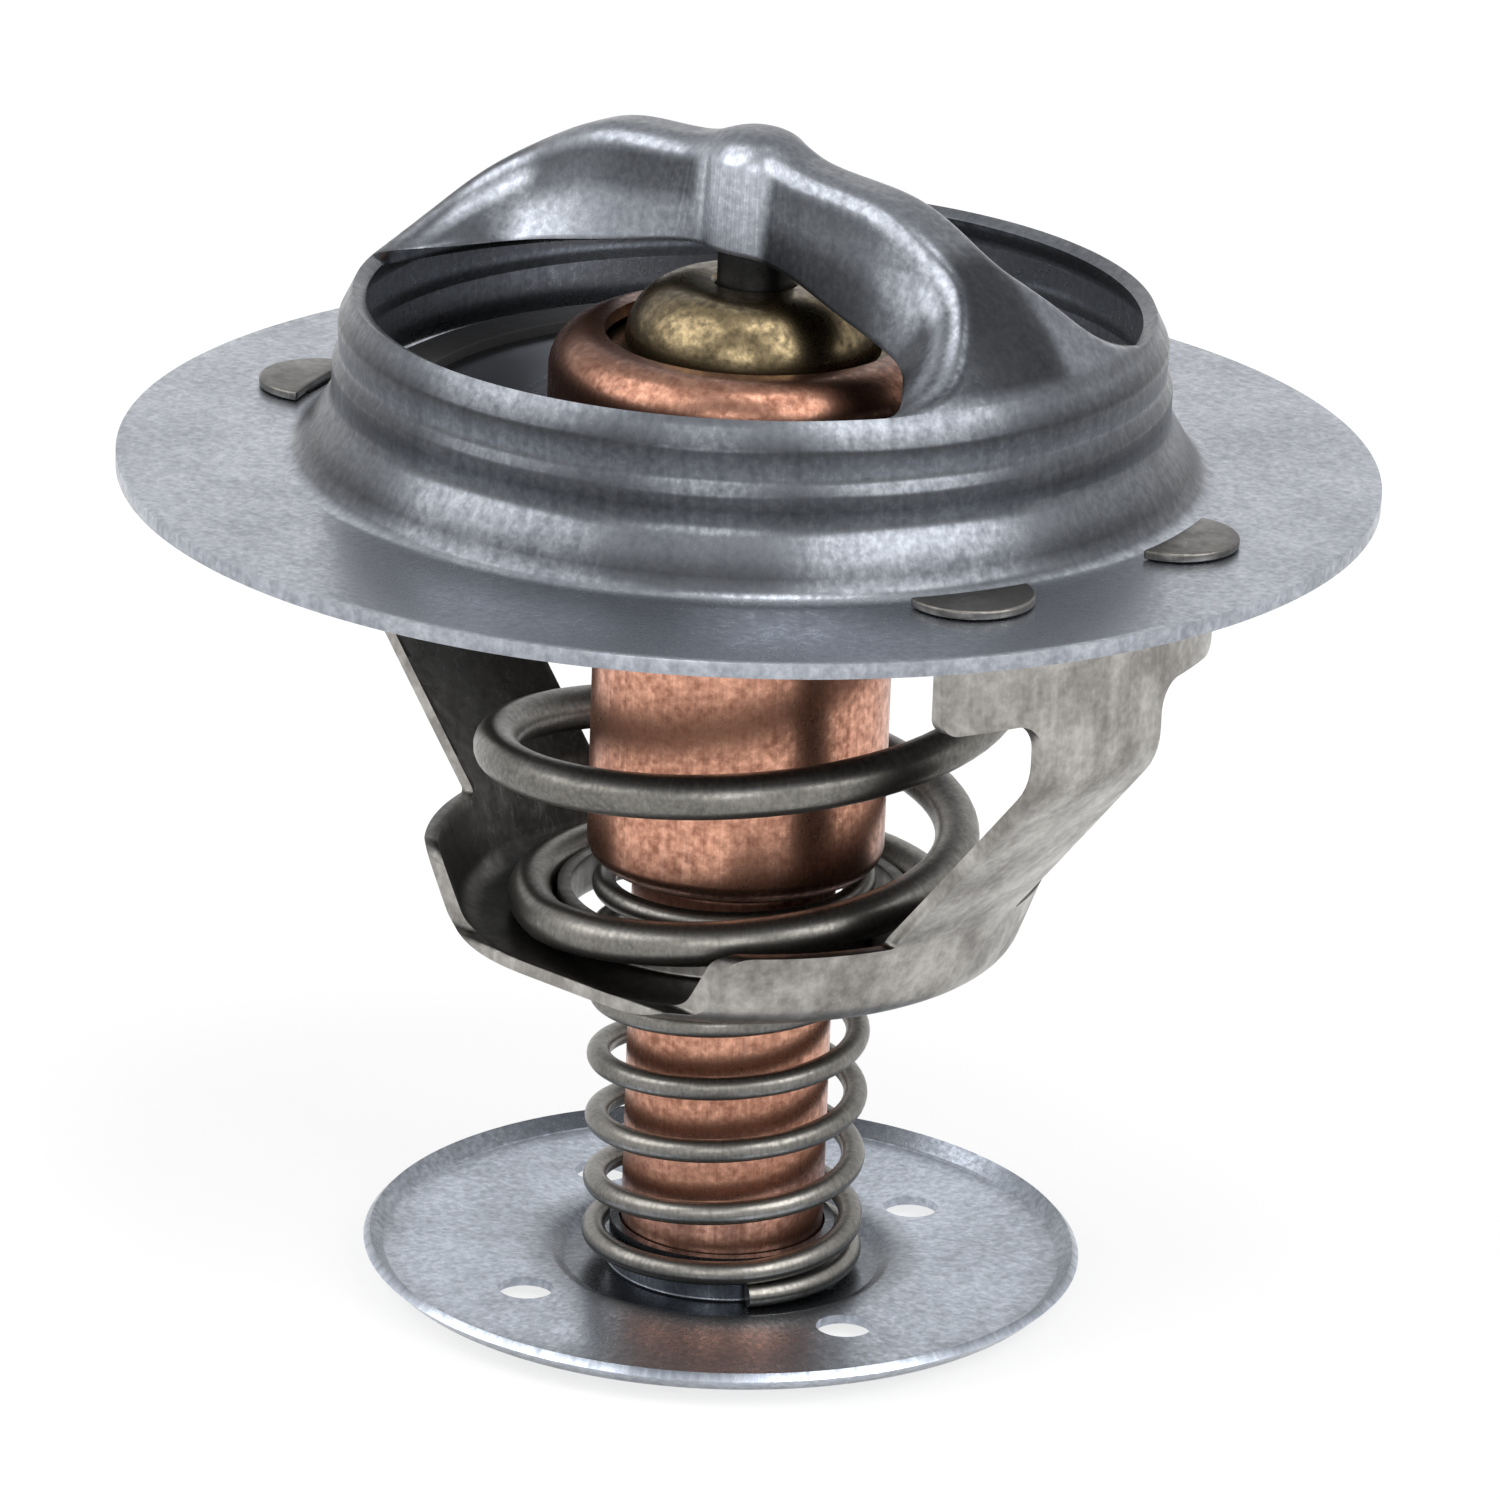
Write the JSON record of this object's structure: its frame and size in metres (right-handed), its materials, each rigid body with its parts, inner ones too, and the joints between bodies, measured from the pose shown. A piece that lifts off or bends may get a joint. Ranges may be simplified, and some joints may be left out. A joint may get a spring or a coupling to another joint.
{
  "type": "engine thermostat",
  "caption": "Insert thermostat for an engine's coolant circuit, with a wax capsule, a main valve and a bottom bypass valve.",
  "frame": {"origin": "centre of the flange, on its upper face", "axes": "+Z along the axis of piston and capsule, towards the bridge; X along the bridge and the frame's legs"},
  "size_m": [0.067, 0.067, 0.0647],
  "materials": {
    "housing_steel": "drawn, satin to bright",
    "frame_steel": "stamped, warm grey, scuffed",
    "piston_steel": "dark, ground",
    "brass": "turned, dull",
    "copper": "drawn copper, satin, fine grain",
    "rubber": "matte",
    "wax": "waxy",
    "valve_steel": "pressed",
    "spring_wire": "drawn wire, olive grey",
    "disc_steel": "satin, fine speckle"
  },
  "bodies": {
    "housing": {"housing": "housing_steel", "frame": "frame_steel", "piston": "piston_steel", "main_spring": "spring_wire"},
    "element": {"capsule": "copper", "guide": "brass", "boot": "rubber", "wax": "wax", "valve_plate": "valve_steel", "valve_seal": "rubber", "bypass_spring": "spring_wire"},
    "bypass_valve": {"bypass_disc": "disc_steel"}
  },
  "joints": [
    {"name": "valve_lift", "type": "slide", "parent": "housing", "child": "element", "axis": [0, 0, 1], "range_m": [-0.008, 0], "stiffness_N_per_m": 3000, "springref_m": 0.001, "deforming": ["main_spring"]},
    {"name": "bypass_slide", "type": "slide", "parent": "element", "child": "bypass_valve", "axis": [0, 0, 1], "range_m": [0, 0.005], "stiffness_N_per_m": 1000, "springref_m": -0.003, "deforming": ["bypass_spring"]}
  ]
}
